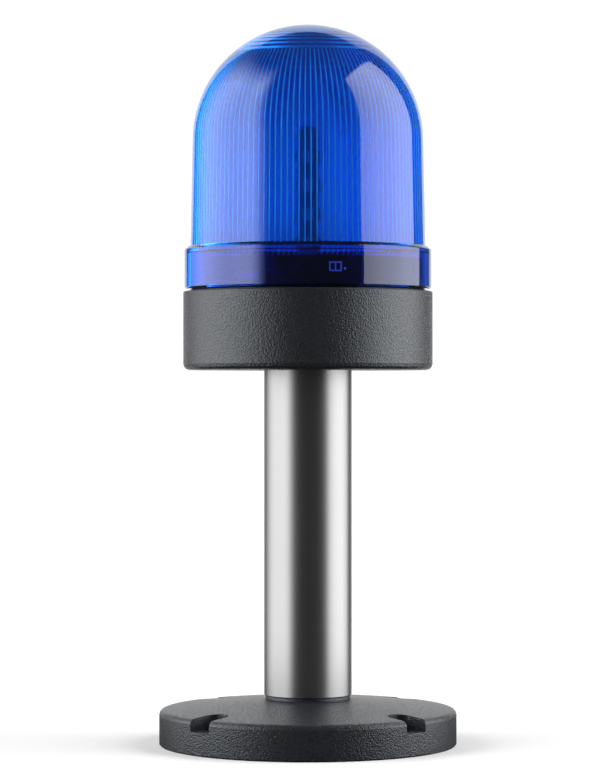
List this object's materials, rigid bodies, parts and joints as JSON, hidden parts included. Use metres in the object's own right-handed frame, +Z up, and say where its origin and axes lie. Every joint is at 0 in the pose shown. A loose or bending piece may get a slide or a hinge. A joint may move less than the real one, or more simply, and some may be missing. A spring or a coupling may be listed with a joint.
{
  "type": "flashing beacon",
  "caption": "Signal beacon: a fluted blue dome lens on a round housing, carried by a steel tube on a screw-down foot. The lens twists to open.",
  "frame": {"origin": "centre of the foot's underside, on the surface that the beacon stands on", "axes": "+Z up along the tube; -Y is the front, from where the picture sees it; +X is to its right"},
  "size_m": [0.0846, 0.0846, 0.2048],
  "materials": {
    "lens_plastic": "clear tinted blue, gloss",
    "housing_plastic": "fine spark-eroded texture, semi-matt",
    "foot_plastic": "fine spark-eroded texture, semi-matt",
    "tube_metal": "satin",
    "plug_plastic": "moulded",
    "screw_steel": "zinc plated",
    "seal_rubber": "matt",
    "board_laminate": "lacquered",
    "strip_laminate": "black lacquer",
    "block_plastic": "moulded",
    "capacitor_sleeve": "shrunk sleeve",
    "choke_core": "sintered",
    "chip_resin": "moulded resin",
    "post_plastic": "moulded",
    "led_package": "phosphor filled"
  },
  "bodies": {
    "stand": {"foot": "foot_plastic", "tube": "tube_metal", "tube_plug_lower": "plug_plastic", "tube_plug_upper": "plug_plastic", "foot_screws": "screw_steel", "housing_screws": "screw_steel", "housing": "housing_plastic", "lens_seal": "seal_rubber", "driver_board": "board_laminate", "board_screws": "screw_steel", "terminal_block": "block_plastic", "terminal_screws": "screw_steel", "capacitor": "capacitor_sleeve", "choke": "choke_core", "rectifier": "chip_resin", "driver_chip": "chip_resin", "led_post": "post_plastic", "led_cap_board": "strip_laminate", "led_top": "led_package", "led_strip_front": "strip_laminate", "leds_front": "led_package", "led_strip_right": "strip_laminate", "leds_right": "led_package", "led_strip_back": "strip_laminate", "leds_back": "led_package", "led_strip_left": "strip_laminate", "leds_left": "led_package"},
    "lens": {"lens": "lens_plastic"}
  },
  "joints": [
    {"name": "lens_twist", "type": "hinge", "parent": "stand", "child": "lens", "pos_m": [0, 0, 0.1295], "axis": [0, 0, 1], "range_deg": [0, 25]}
  ]
}
